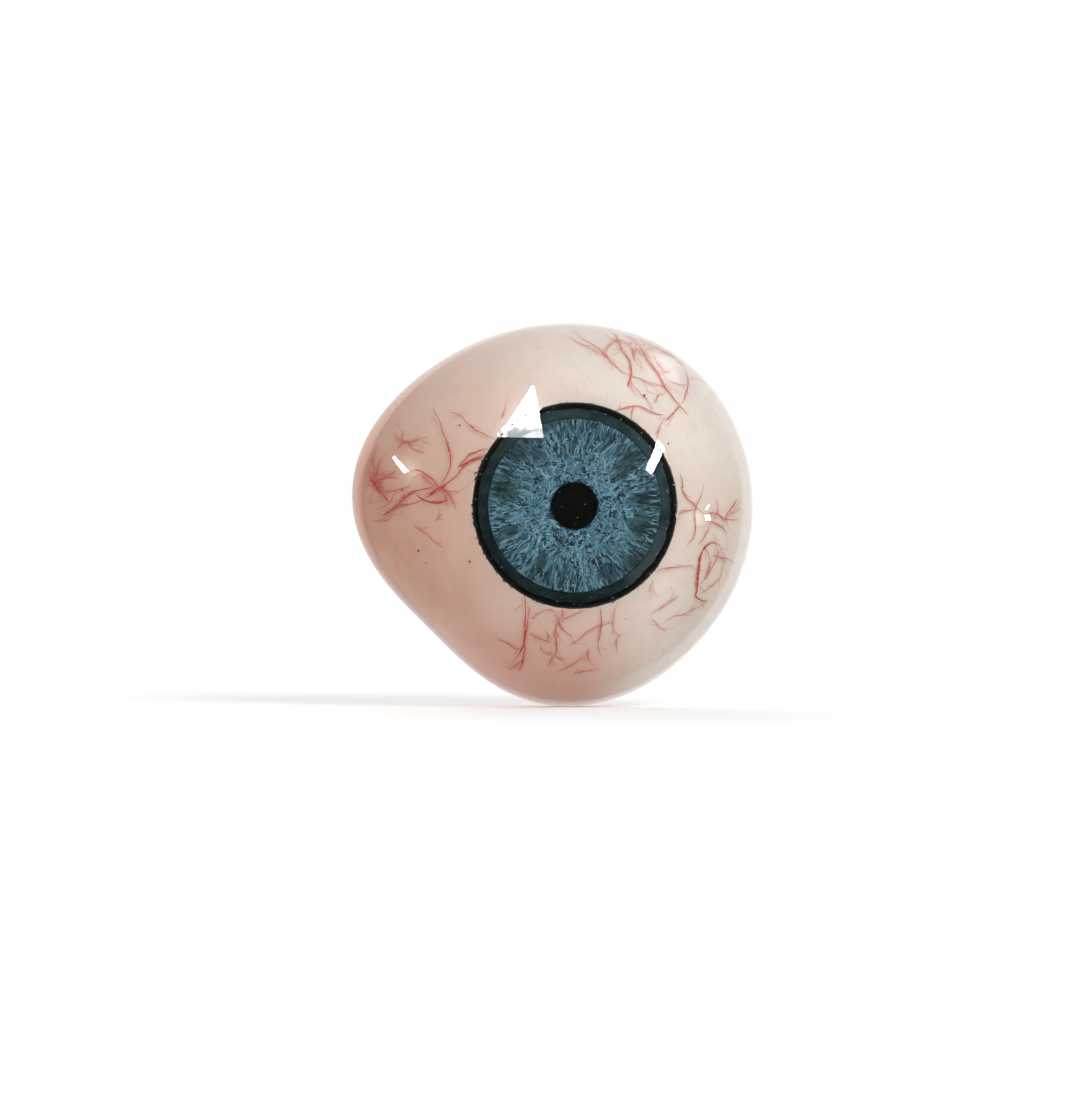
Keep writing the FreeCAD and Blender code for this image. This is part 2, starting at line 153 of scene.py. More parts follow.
# Fibres of each tuft: width in millimetres, and the way it takes in the picture, in pixels
fibres = {
    "thread_nasal_star": [
        (0.10, [(440, 488), (449, 470), (451, 462), (449, 449), (444, 435), (440, 422), (433, 409)]),
        (0.11, [(440, 488), (452, 479), (462, 469), (470, 460), (484, 456)]),
        (0.10, [(440, 488), (433, 480), (424, 473), (415, 469)]),
        (0.16, [(440, 487), (433, 493), (427, 497)]),
        (0.18, [(417, 495), (424, 500), (437, 503), (447, 500)]),
        (0.08, [(440, 488), (448, 491), (459, 493)]),
        (0.08, [(441, 488), (451, 497), (456, 509)]),
        (0.06, [(441, 490), (446, 499), (448, 508)]),
        (0.24, [(430, 494), (436, 490), (441, 488), (446, 485)]),
        (0.06, [(420, 474), (430, 483), (440, 487)]),
    ],
    "thread_nasal_long": [
        (0.12, [(433, 487), (416, 491), (406, 497), (395, 507), (382, 516)]),
        (0.08, [(395, 507), (410, 504), (423, 500)]),
        (0.07, [(393, 506), (402, 497), (417, 490)]),
        (0.06, [(376, 510), (388, 504), (396, 491)]),
        (0.06, [(384, 519), (396, 509), (408, 505)]),
    ],
    "thread_nasal_edge": [
        (0.10, [(375, 483), (373, 463), (370, 442)]),
        (0.07, [(376, 483), (377, 470), (381, 458)]),
        (0.08, [(375, 483), (366, 480), (355, 476)]),
        (0.08, [(375, 483), (392, 473), (396, 470)]),
        (0.13, [(375, 482), (379, 490), (388, 501)]),
        (0.07, [(375, 484), (383, 492), (411, 486)]),
        (0.07, [(376, 482), (386, 478), (398, 479)]),
        (0.06, [(372, 492), (378, 487), (384, 478)]),
        (0.06, [(366, 470), (371, 478), (376, 484)]),
        (0.06, [(364, 455), (365, 468), (372, 481), (377, 490)]),
        (0.06, [(357, 463), (366, 473), (374, 483), (380, 494)]),
        (0.06, [(378, 468), (375, 478), (378, 491), (385, 504)]),
        (0.06, [(366, 471), (378, 475), (391, 474)]),
        (0.20, [(371, 479), (375, 485), (379, 491)]),
        (0.05, [(356, 489), (366, 486), (377, 487)]),
    ],
    "thread_nasal_cross": [
        (0.07, [(394, 436), (405, 442), (429, 437)]),
        (0.08, [(397, 449), (405, 442), (414, 450), (424, 453)]),
        (0.06, [(405, 442), (402, 437), (404, 431)]),
    ],
    "thread_nasal_limbus": [
        (0.14, [(458, 467), (469, 462), (484, 456), (489, 453)]),
        (0.10, [(459, 466), (468, 456), (475, 452), (489, 448)]),
        (0.07, [(462, 465), (472, 459), (484, 459)]),
    ],
    "thread_nasal_upper": [
        (0.09, [(450, 412), (461, 416), (469, 425), (480, 432), (494, 439)]),
        (0.06, [(501, 419), (503, 413), (506, 408)]),
    ],
    "thread_nasal_low": [
        (0.08, [(414, 526), (424, 533), (435, 543), (443, 548)]),
        (0.07, [(435, 521), (442, 514)]),
        (0.07, [(357, 507), (372, 500)]),
        (0.07, [(372, 521), (388, 521)]),
    ],
    "thread_upper_trunk": [
        (0.14, [(627, 330), (636, 342), (642, 351), (652, 366), (662, 381), (668, 392), (680, 406),
                (688, 415)]),
        (0.09, [(680, 406), (672, 415), (665, 421)]),
        (0.08, [(682, 404), (686, 394), (688, 381), (686, 362)]),
        (0.06, [(668, 392), (659, 395), (657, 399), (654, 404)]),
        (0.07, [(636, 342), (646, 352), (655, 368), (664, 383)]),
        (0.06, [(622, 334), (634, 339), (645, 347)]),
        (0.06, [(634, 340), (638, 350), (645, 357), (650, 366)]),
        (0.06, [(652, 366), (657, 371), (664, 375)]),
        (0.06, [(630, 334), (631, 345), (634, 361)]),
    ],
    "thread_upper_left": [
        (0.11, [(566, 325), (574, 331), (583, 339), (598, 348), (607, 357), (621, 371), (628, 374)]),
        (0.08, [(566, 335), (577, 342), (589, 347), (606, 357)]),
    ],
    "thread_upper_fan": [
        (0.13, [(621, 349), (628, 358), (631, 367), (632, 374), (629, 383), (628, 387)]),
        (0.08, [(628, 374), (648, 382), (665, 387)]),
        (0.06, [(630, 382), (642, 395), (647, 399), (654, 411), (657, 414)]),
        (0.07, [(603, 350), (614, 341), (627, 340)]),
        (0.06, [(612, 332), (620, 341), (622, 351)]),
        (0.06, [(600, 330), (610, 338), (624, 344)]),
        (0.06, [(605, 328), (615, 334), (619, 343), (621, 352)]),
        (0.06, [(616, 331), (615, 341), (606, 350), (608, 357)]),
        (0.05, [(613, 350), (622, 348), (633, 342)]),
        (0.05, [(619, 340), (629, 344), (638, 343)]),
    ],
    "thread_upper_arch": [
        (0.10, [(616, 411), (624, 408), (635, 406), (644, 408), (654, 413), (663, 415)]),
        (0.06, [(635, 406), (632, 412), (632, 420)]),
        (0.06, [(665, 418), (659, 427), (658, 438)]),
    ],
    "thread_upper_right": [
        (0.14, [(646, 349), (654, 348), (665, 348), (675, 355), (685, 362)]),
        (0.07, [(652, 351), (658, 364), (666, 372), (672, 370)]),
        (0.06, [(667, 379), (675, 383), (684, 385), (688, 383)]),
        (0.06, [(688, 378), (698, 379), (704, 384)]),
        (0.07, [(640, 344), (654, 341), (668, 346), (680, 352)]),
        (0.06, [(635, 334), (642, 342), (648, 350)]),
        (0.05, [(638, 336), (648, 343), (662, 347)]),
        (0.05, [(640, 348), (634, 352), (637, 364)]),
    ],
    "thread_temporal_star": [
        (0.10, [(680, 474), (683, 485), (682, 491), (690, 501), (704, 514)]),
        (0.11, [(706, 514), (715, 513), (725, 519), (738, 520)]),
        (0.09, [(706, 517), (711, 521), (723, 528), (727, 534)]),
        (0.08, [(704, 485), (702, 493), (697, 504), (695, 511), (695, 533), (687, 546)]),
        (0.08, [(676, 518), (683, 512), (695, 510)]),
        (0.08, [(739, 497), (728, 513), (723, 528)]),
        (0.07, [(711, 523), (704, 538), (699, 544)]),
        (0.06, [(725, 519), (733, 512), (741, 508)]),
        (0.06, [(714, 520), (718, 508), (716, 498)]),
    ],
    "thread_temporal_loop": [
        (0.26, [(710, 544), (704, 549), (700, 559), (698, 573), (697, 589), (696, 596), (700, 600)]),
        (0.11, [(720, 546), (715, 543), (710, 543), (705, 547)]),
        (0.10, [(698, 598), (703, 601), (708, 600)]),
        (0.10, [(705, 548), (710, 559), (708, 573), (701, 584)]),
        (0.08, [(716, 546), (718, 554), (713, 566), (706, 579)]),
        (0.08, [(722, 563), (720, 578), (701, 594)]),
        (0.08, [(713, 556), (728, 559), (735, 564)]),
        (0.06, [(719, 545), (724, 556), (723, 570)]),
    ],
    "thread_temporal_low": [
        (0.07, [(656, 572), (667, 568), (681, 567), (695, 565)]),
        (0.06, [(652, 580), (651, 586), (647, 593)]),
        (0.08, [(652, 614), (666, 604), (678, 595)]),
        (0.09, [(664, 623), (673, 617), (683, 615), (695, 609), (708, 602)]),
        (0.07, [(653, 619), (658, 625), (666, 631)]),
    ],
    "thread_lower_trunk": [
        (0.12, [(525, 597), (525, 617), (524, 641), (520, 652), (513, 662)]),
        (0.09, [(529, 607), (528, 621), (525, 638), (524, 653), (520, 670)]),
        (0.08, [(496, 637), (507, 644), (520, 650)]),
        (0.06, [(521, 662), (514, 667), (507, 670)]),
        (0.06, [(524, 655), (522, 664), (519, 672)]),
    ],
    "thread_lower_fork": [
        (0.09, [(529, 633), (537, 638), (546, 641), (552, 642)]),
        (0.10, [(558, 622), (555, 633), (556, 644), (556, 653), (548, 666)]),
        (0.09, [(558, 619), (559, 623), (564, 631), (573, 637)]),
        (0.08, [(562, 609), (563, 621)]),
        (0.07, [(550, 608), (558, 619)]),
        (0.07, [(560, 620), (564, 619), (574, 615), (585, 610)]),
        (0.07, [(530, 619), (540, 613), (550, 609)]),
        (0.06, [(545, 630), (551, 640)]),
        (0.07, [(540, 648), (546, 653), (554, 655)]),
        (0.06, [(554, 655), (560, 659), (566, 658)]),
    ],
    "thread_lower_right": [
        (0.08, [(570, 646), (581, 637), (593, 629), (604, 625), (611, 622)]),
        (0.09, [(600, 609), (601, 619), (600, 634), (598, 646), (601, 656)]),
        (0.07, [(621, 599), (616, 607), (613, 621), (613, 634)]),
        (0.06, [(619, 636), (614, 646)]),
        (0.07, [(589, 648), (588, 657), (594, 666)]),
        (0.08, [(557, 671), (568, 668), (584, 657)]),
        (0.07, [(574, 674), (588, 671), (599, 668)]),
    ],
}

# Dark specks in the clear front: place in the picture and radius in millimetres
specks = [
    ((459.3, 425.2), 0.055), ((418.2, 550.8), 0.05), ((469.4, 561.7), 0.055), ((644.6, 395.3), 0.06),
    ((668.5, 443.5), 0.055), ((426, 563), 0.03), ((425, 617), 0.03), ((589, 377), 0.025),
    ((638, 590), 0.03), ((402, 490), 0.05), ((463, 523), 0.02), ((508, 400), 0.02),
]

# Dark patches of the iris: turn in degrees, distance out, and half length and half width in millimetres
dark_patches = [
    (171, 3.5, 0.8, 0.35), (135, 3.9, 0.6, 0.75), (126, 3.2, 0.4, 0.4), (38, 3.5, 0.8, 0.35),
    (32, 2.8, 0.4, 0.25), (7, 3.3, 0.7, 0.3), (13, 3.9, 0.5, 0.3), (-18, 3.5, 0.6, 0.3),
    (-63, 4.0, 0.5, 0.45), (-40, 4.1, 0.4, 0.4), (-157, 3.3, 0.6, 0.25), (-119, 3.4, 0.6, 0.3),
    (-158, 4.3, 0.35, 0.3), (-100, 3.6, 0.7, 0.14), (72, 4.0, 0.45, 0.25), (94, 3.6, 0.6, 0.1),
    (81, 4.2, 0.3, 0.2), (-110, 1.9, 0.45, 0.16), (-82, 4.0, 0.4, 0.12), (153, 3.7, 0.5, 0.18),
]

# Highlights of the window: name, corners in the picture, and how bright the lower edge is
window_highlights = [
    ("window_sheet", [(498, 437), (532, 386), (534.5, 386), (544, 438)], 0.4),
    ("strip_sheet", [(645, 470), (658, 440), (665, 449), (652, 475)], 1.0),
    ("streak_sheet", [(392, 458), (395, 456), (409, 471), (404, 474)], 1.0),
    ("dot_sheet", [(704.5, 515.5), (709.5, 514.5), (710.5, 520), (705.5, 521)], 1.0),
    ("dot_tail_sheet", [(705.5, 510), (709, 503.5), (710, 504.5), (707, 510)], 1.0),
]
glare_corners = [(640, 380), (643, 344), (682, 360), (686, 398)]

# Sizes that follow from the ones above
mean_reach = sum(reach_at_hour.values()) / len(reach_at_hour)
rear_front = equator_front - rim_radius
ball_front = cornea_front - cornea_radius
bowl_lean = math.acos(1 + rear_front / (bowl_radius + lip_radius))
lip_width = lip_radius * math.sin(bowl_lean)


def reach(turn):
    """Outline reach at a turn in radians from 3 o'clock."""
    total = 0.0
    for hour, value in reach_at_hour.items():
        away = turn - math.radians(90 - 30 * hour)
        share = 1 + math.cos(6 * away)
        for wave in range(1, 6):
            share += 2 * math.cos(wave * away)
        total += share * value / 12
    return total


def smooth_step(value):
    """Value held between 0 and 1, and eased at both ends."""
    value = min(max(value, 0.0), 1.0)
    return value * value * (3 - 2 * value)


def dome_spot_at(angle, full_reach, inset):
    """Distance out and front of a dome layer where the outline's reach is known."""
    share = smooth_step((angle - round_until_angle) / (90 - round_until_angle))
    width = mean_reach + (full_reach - mean_reach) * share - inset
    slope = math.radians(angle)
    return width * math.sin(slope), equator_front + (dome_height - inset) * math.cos(slope)


def dome_spot(angle, turn, inset):
    """Distance out and distance front of a dome layer, inset from the outer one."""
    return dome_spot_at(angle, reach(turn), inset)


def dome_angle_at(front, inset):
    """Angle off the line of sight at which a dome layer has this front distance."""
    return math.degrees(math.acos((front - equator_front) / (dome_height - inset)))


def bed_spot(x, z, inset):
    """Point of a dome layer at x and z, found by halving the angle from the line of sight."""
    full_reach = reach(math.atan2(z, x))
    wanted = math.hypot(x, z)
    low = 0.0
    high = 90.0
    for _ in range(bed_halvings):
        middle = (low + high) / 2
        out, front = dome_spot_at(middle, full_reach, inset)
        if out < wanted:
            low = middle
        else:
            high = middle
    return Vector((x, -front, z))


def bed_normal(x, z, inset):
    """Outward direction square to a dome layer at x and z."""
    nudge = 0.01
    here = bed_spot(x, z, inset)
    beside = bed_spot(x + nudge, z, inset) - here
    above = bed_spot(x, z + nudge, inset) - here
    return beside.cross(above).normalized()


def blend_centre(angle):
    """Centre of a blend circle that touches the dome from outside at this angle."""
    out, front = dome_spot(angle, 0.0, 0.0)
    slope = math.radians(angle)
    lean = math.atan2(math.sin(slope) / mean_reach, math.cos(slope) / dome_height)
    return out + cornea_blend * math.sin(lean), front + cornea_blend * math.cos(lean)


def blend_start_angle():
    """Dome angle at which the blend circle also touches the cornea's ball, by halving."""
    low = 0.0
    high = round_until_angle
    for _ in range(blend_halvings):
        middle = (low + high) / 2
        out, front = blend_centre(middle)
        if math.hypot(out, front - ball_front) < cornea_radius + cornea_blend:
            low = middle
        else:
            high = middle
    return low


# Polished outer surface, and how the picture is seen through it


dome_start_angle = blend_start_angle()
blend_out, blend_front = blend_centre(dome_start_angle)
ball_lean = math.atan2(blend_out, blend_front - ball_front)
ball_edge = cornea_radius * math.sin(ball_lean)
dome_edge = dome_spot(dome_start_angle, 0.0, 0.0)[0]


def outer_spot(x, z):
    """Point of the polished outer surface at x and z."""
    out = math.hypot(x, z)
    if out < ball_edge:
        return Vector((x, -ball_front - math.sqrt(cornea_radius ** 2 - out ** 2), z))
    if out < dome_edge:
        return Vector((x, math.sqrt(cornea_blend ** 2 - (out - blend_out) ** 2) - blend_front, z))
    return bed_spot(x, z, 0.0)


def outer_normal(x, z):
    """Outward direction square to the polished outer surface."""
    nudge = 0.01
    here = outer_spot(x, z)
    beside = outer_spot(x + nudge, z) - here
    above = outer_spot(x, z + nudge) - here
    return beside.cross(above).normalized()


def camera_axes():
    """Directions to the right and away from the camera."""
    right = Vector((math.cos(camera_azimuth), math.sin(camera_azimuth), 0.0))
    away = Vector((-math.sin(camera_azimuth), math.cos(camera_azimuth), 0.0))
    return right, away


def camera_place():
    """Where the camera stands, in millimetres."""
    right, away = camera_axes()
    aside = (picture_width / 2 - axis_pixel[0]) * millimetres_per_pixel
    upward = (axis_pixel[1] - picture_height / 2) * millimetres_per_pixel
    return right * aside + Vector((0, 0, upward)) - away * (camera_distance + measured_front)


def picture_ray(pixel):
    """Direction in which the camera sees a pixel of the picture."""
    right, away = camera_axes()
    aside = (pixel[0] - picture_width / 2) * millimetres_per_pixel
    upward = (picture_height / 2 - pixel[1]) * millimetres_per_pixel
    return (right * aside + Vector((0, 0, upward)) + away * camera_distance).normalized()


def meet(start, way, far, surface):
    """Where a line going back meets a surface, by halving; surface(x, z) is its point."""
    near = 0.0
    for _ in range(view_halvings):
        middle = (near + far) / 2
        spot = start + way * middle
        if spot.y < surface(spot.x, spot.z).y:
            near = middle
        else:
            far = middle
    return start + way * far


def outer_hit(pixel):
    """Where the camera's view of a pixel meets the outer surface, and its direction."""
    way = picture_ray(pixel)
    start = camera_place() + way * (camera_distance - 12.0)
    return meet(start, way, 24.0, outer_spot), way


def bed_hit(pixel, inset):
    """Where the camera sees a pixel on a layer under the clear front, after the view is bent."""
    spot, way = outer_hit(pixel)
    normal = outer_normal(spot.x, spot.z)
    facing = -way.dot(normal)
    bend = 1 / resin_index
    settle = bend * facing - math.sqrt(1 - bend ** 2 * (1 - facing ** 2))
    inward = (way * bend + normal * settle).normalized()
    found = meet(spot, inward, 4.0, lambda x, z: bed_spot(x, z, inset))
    out = math.hypot(found.x, found.z)
    furthest = dome_spot(last_fibre_angle, math.atan2(found.z, found.x), inset)[0]
    if out > furthest:
        found = bed_spot(found.x * furthest / out, found.z * furthest / out, inset)
    return found


# Meshes


def ring(spot):
    """Points of one ring; spot(turn) gives its distance out and front."""
    points = []
    for step in range(turns):
        turn = 2 * math.pi * step / turns
        out, front = spot(turn)
        points.append(Vector((out * math.cos(turn), -front, out * math.sin(turn))))
    return points


def even_ring(out, front):
    return ring(lambda turn: (out, front))


def pole(front):
    return [Vector((0.0, -front, 0.0))]


def dome_rings(inset, first_angle, last_angle):
    """Rings of a dome layer between two angles, both included."""
    steps = max(1, round(abs(last_angle - first_angle) / dome_step))
    rings = []
    for step in range(steps + 1):
        angle = first_angle + (last_angle - first_angle) * step / steps
        rings.append(ring(lambda turn, angle=angle: dome_spot(angle, turn, inset)))
    return rings


def add_object(name, points, faces, materials, face_slots=None):
    """Mesh object from points in millimetres, with its faces turned outward."""
    mesh = bpy.data.meshes.new(name)
    mesh.from_pydata([point * millimetre for point in points], [], faces)
    for material in materials:
        mesh.materials.append(material)
    if face_slots:
        mesh.polygons.foreach_set("material_index", face_slots)
    work = bmesh.new()
    work.from_mesh(mesh)
    bmesh.ops.recalc_face_normals(work, faces=work.faces)
    work.to_mesh(mesh)
    work.free()
    mesh.shade_smooth()
    mesh.set_sharp_from_angle(angle=math.radians(sharp_edge_angle))
    made = bpy.data.objects.new(name, mesh)
    bpy.context.scene.collection.objects.link(made)
    return made


def add_skin(name, rings, materials, band_slots=None):
    """Closed surface through rings; a ring of one point is a pole."""
    points = []
    starts = []
    for one in rings:
        starts.append(len(points))
        points.extend(one)
    faces = []
    face_slots = []
    for band in range(len(rings) - 1):
        near, far = starts[band], starts[band + 1]
        for step in range(turns):
            after = (step + 1) % turns
            if len(rings[band]) == 1:
                faces.append((near, far + step, far + after))
            elif len(rings[band + 1]) == 1:
                faces.append((near + step, near + after, far))
            else:
                faces.append((near + step, near + after, far + after, far + step))
            face_slots.append(band_slots[band] if band_slots else 0)
    return add_object(name, points, faces, materials, face_slots)


def keep(piece, slot, *nodes):
    """Hands a finished piece to the frame."""
    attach(piece, "root")
    if nodes:
        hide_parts(*nodes)


# Materials


def paint(red, green, blue):
    """Colour as written on a screen, for a shader."""
    levels = []
    for value in (red, green, blue):
        share = value / 255
        levels.append(share / 12.92 if share <= 0.04045 else ((share + 0.055) / 1.055) ** 2.4)
    return (*levels, 1.0)


def add_node(tree, kind, inputs=None, **settings):
    """Node with its settings; an input may be a plain value or another node's output."""
    made = tree.nodes.new(kind)
    for name, value in settings.items():
        setattr(made, name, value)
    for name, value in (inputs or {}).items():
        if isinstance(value, bpy.types.NodeSocket):
            tree.links.new(value, made.inputs[name])
        else:
            made.inputs[name].default_value = value
    return made


def calc(tree, operation, first, second=0.0, third=0.0, clamp=False):
    inputs = {0: first, 1: second, 2: third}
    return add_node(tree, "ShaderNodeMath", inputs, operation=operation, use_clamp=clamp).outputs[0]


def times(tree, first, second):
    return calc(tree, "MULTIPLY", first, second)


def blend_colour(tree, share, first, second):
    mixer = add_node(tree, "ShaderNodeMix", data_type="RGBA")
    for index, value in ((0, share), (6, first), (7, second)):
        if isinstance(value, bpy.types.NodeSocket):
            tree.links.new(value, mixer.inputs[index])
        else:
            mixer.inputs[index].default_value = value
    return mixer.outputs[2]


def ease(tree, value, low, high, to_low=0.0, to_high=1.0):
    """Smooth step of a value between two levels."""
    inputs = {"Value": value, "From Min": low, "From Max": high, "To Min": to_low, "To Max": to_high}
    return add_node(tree, "ShaderNodeMapRange", inputs, interpolation_type="SMOOTHSTEP").outputs[0]


def grain(tree, vector, scale, detail=2.0, distortion=0.0, roughness=0.5):
    inputs = {
        "Vector": vector, "Scale": scale, "Detail": detail,
        "Distortion": distortion, "Roughness": roughness,
    }
    return add_node(tree, "ShaderNodeTexNoise", inputs).outputs["Fac"]


def new_material(name):
    material = bpy.data.materials.new(name)
    material.use_nodes = True
    material.node_tree.nodes.clear()
    return material, material.node_tree


def spot_in_millimetres(tree):
    place = add_node(tree, "ShaderNodeTexCoord").outputs["Object"]
    scaled = add_node(tree, "ShaderNodeVectorMath", {0: place, "Scale": 1000.0}, operation="SCALE")
    return scaled.outputs[0]


def show(tree, shader):
    tree.links.new(shader, add_node(tree, "ShaderNodeOutputMaterial").inputs["Surface"])


def finish_surface(material, surface):
    """Shows a surface with these values and gives its material back."""
    tree = material.node_tree
    show(tree, add_node(tree, "ShaderNodeBsdfPrincipled", surface).outputs[0])
    return material


def bump(tree, height, strength, distance_mm):
    inputs = {"Height": height, "Strength": strength, "Distance": distance_mm * millimetre}
    return add_node(tree, "ShaderNodeBump", inputs).outputs[0]


def front_share(tree, axes):
    """1 on the front of the body, 0 far back and on faces that look back."""
    facing = add_node(tree, "ShaderNodeNewGeometry").outputs["Normal"]
    backward = add_node(tree, "ShaderNodeSeparateXYZ", {0: facing}).outputs[1]
    return times(tree, ease(tree, axes[1], 6.0, 3.2), ease(tree, backward, 0.4, 0.1))


def ivory(tree, spot, axes, in_front):
    """Ivory with painted shade and reflection towards the pointed side and the lower edge, turning warmer
    and darker there, most in front.
    """
    mottle = grain(tree, spot, 0.35, 3.0, 0.6)
    # Painted shade and reflection: warmer and darker towards the pointed side and the lower edge, with
    # random mottling
    painted_shade = calc(tree, "MULTIPLY_ADD", axes[0], -0.068, 0.24)
    painted_shade = calc(tree, "MULTIPLY_ADD", axes[2], -0.026, painted_shade)
    painted_shade = calc(tree, "ADD", painted_shade, calc(tree, "MULTIPLY_ADD", mottle, 0.4, -0.2), clamp=True)
    painted_shade = times(tree, painted_shade, ease(tree, in_front, 0.0, 1.0, 0.25, 1.0))
    return blend_colour(tree, painted_shade, paint(238, 228, 218), paint(211, 160, 136))


def resin_tints(tree, spot, axes, in_front, colour):
    """Pink below as painted shade and reflection, beige as a painted reflection then milky away from the
    point, painted shadow round the disc, and a fine veil.
    """
    # Pink below: painted shade and reflection
    below = times(tree, ease(tree, axes[2], -5.0, -10.0, 0.0, 0.6), ease(tree, axes[0], 5.0, 0.0))
    colour = blend_colour(tree, times(tree, below, in_front), colour, paint(232, 176, 158))
    # Beige away from the point: painted reflection
    beige = times(tree, ease(tree, axes[0], 4.5, 7.5, 0.0, 0.5), ease(tree, axes[2], 4.0, 0.0))
    colour = blend_colour(tree, times(tree, beige, in_front), colour, paint(212, 196, 180))
    outer = times(tree, ease(tree, axes[1], 1.7, 2.1), ease(tree, axes[0], 1.0, 6.0))
    colour = blend_colour(tree, outer, colour, paint(240, 233, 226))
    # Darker round the disc: painted shadow of the disc's rim
    painted_rim_shade = ease(tree, polar(tree, spot)[0], 7.2, 5.4, 0.0, 0.3)
    colour = blend_colour(tree, times(tree, painted_rim_shade, in_front), colour, paint(186, 160, 146))
    fine = grain(tree, spot, 1.6, 4.0, 0.4)
    veil = times(tree, ease(tree, fine, 0.35, 0.75, 0.0, 0.2), in_front)
    return blend_colour(tree, veil, colour, paint(216, 192, 178))


def make_white_resin(name, roughness, bump_strength):
    """Ivory resin with soft tints, painted shade and painted reflections in front, and a slightly uneven
    surface.
    """
    material, tree = new_material(name)
    spot = spot_in_millimetres(tree)
    axes = add_node(tree, "ShaderNodeSeparateXYZ", {0: spot}).outputs
    in_front = front_share(tree, axes)
    colour = ivory(tree, spot, axes, in_front)
    surface = {
        "Base Color": resin_tints(tree, spot, axes, in_front, colour),
        "Roughness": roughness, "IOR": resin_index, "Subsurface Weight": 0.3,
        "Subsurface Radius": (1.0, 0.55, 0.4), "Subsurface Scale": 0.0012,
        "Normal": bump(tree, grain(tree, spot, 1.1, 2.0), bump_strength, 0.05),
    }
    return finish_surface(material, surface)


def make_clear_resin():
    """Polished clear resin that lets the lamps through to what lies under it."""
    material, tree = new_material("clear_resin")
    spot = spot_in_millimetres(tree)
    surface = {
        "Base Color": (0.985, 0.975, 0.965, 1.0), "Roughness": 0.0, "IOR": resin_index,
        "Transmission Weight": 1.0,
        "Normal": bump(tree, grain(tree, spot, 0.5, 1.0), 0.04, 0.1),
    }
    glass = add_node(tree, "ShaderNodeBsdfPrincipled", surface).outputs[0]
    open_way = add_node(tree, "ShaderNodeBsdfTransparent", {0: (0.98, 0.97, 0.96, 1.0)}).outputs[0]
    path = add_node(tree, "ShaderNodeLightPath").outputs
    lamp_way = calc(tree, "MAXIMUM", path["Is Shadow Ray"], path["Is Diffuse Ray"])
    mixed = add_node(tree, "ShaderNodeMixShader", {0: lamp_way, 1: glass, 2: open_way})
    show(tree, mixed.outputs[0])
    return material


def make_bond():
    """Inner face of the clear front, cast onto the white body, so it doesn't bend the light."""
    material, tree = new_material("clear_bond")
    show(tree, add_node(tree, "ShaderNodeBsdfTransparent").outputs[0])
    return material


def polar(tree, spot):
    """Distance from the line of sight, and a vector for streaks: around, around, outward."""
    axes = add_node(tree, "ShaderNodeSeparateXYZ", {0: spot}).outputs
    square = calc(tree, "MULTIPLY_ADD", axes[0], axes[0], times(tree, axes[2], axes[2]))
    radius = calc(tree, "SQRT", square)
    across = calc(tree, "DIVIDE", axes[0], radius)
    upward = calc(tree, "DIVIDE", axes[2], radius)
    return radius, across, upward


def streaks(tree, across, upward, radius, around, outward):
    """Vector in which noise makes streaks that run outward."""
    inputs = {
        0: times(tree, across, around),
        1: times(tree, upward, around),
        2: times(tree, radius, outward),
    }
    return add_node(tree, "ShaderNodeCombineXYZ", inputs).outputs[0]


def make_iris_paint():
    """Ground of the iris, darker outside and in its patches, with streaks that run outward."""
    material, tree = new_material("iris_paint")
    spot = spot_in_millimetres(tree)
    radius, across, upward = polar(tree, spot)
    patch = add_node(tree, "ShaderNodeAttribute", attribute_name="patch").outputs["Fac"]
    colour = blend_colour(tree, ease(tree, radius, 2.0, 3.4), paint(64, 104, 124), paint(52, 84, 94))
    radial = grain(tree, streaks(tree, across, upward, radius, 9.0, 0.9), 1.6, 3.0, 0.5)
    colour = blend_colour(tree, ease(tree, radial, 0.42, 0.62), colour, paint(30, 54, 60))
    tangle = grain(tree, spot, 3.4, 4.0, 2.2, 0.6)
    crease = calc(tree, "ABSOLUTE", calc(tree, "SUBTRACT", tangle, 0.5))
    dark_line = times(tree, ease(tree, crease, 0.035, 0.0), 0.8)
    colour = blend_colour(tree, dark_line, colour, paint(22, 44, 54))
    colour = blend_colour(tree, times(tree, patch, 0.85), colour, paint(30, 50, 54))
    surface = {
        "Base Color": colour, "Roughness": 0.45, "IOR": 1.2,
        "Normal": bump(tree, calc(tree, "ADD", radial, tangle), 0.6, 0.06),
    }
    return finish_surface(material, surface)


def make_stroke_paint(name, shades):
    """Raised brush strokes, each in a shade of its own."""
    material, tree = new_material(name)
    pick = add_node(tree, "ShaderNodeNewGeometry").outputs["Random Per Island"]
    ramp = add_node(tree, "ShaderNodeValToRGB", {0: pick})
    ramp.color_ramp.interpolation = "LINEAR"
    stops = ramp.color_ramp.elements
    while len(stops) < len(shades):
        stops.new(0.5)
    for index, shade in enumerate(shades):
        stops[index].position = index / (len(shades) - 1)
        stops[index].color = paint(*shade)
    spot = spot_in_millimetres(tree)
    patch = add_node(tree, "ShaderNodeAttribute", attribute_name="patch").outputs["Fac"]
    worn = ease(tree, grain(tree, spot, 9.0, 3.0), 0.4, 0.7, 0.0, 0.35)
    darkness = calc(tree, "MAXIMUM", times(tree, patch, 0.85), worn)
    colour = blend_colour(tree, darkness, ramp.outputs[0], paint(42, 66, 70))
    surface = {"Base Color": colour, "Roughness": 0.4, "IOR": 1.25}
    return finish_surface(material, surface)


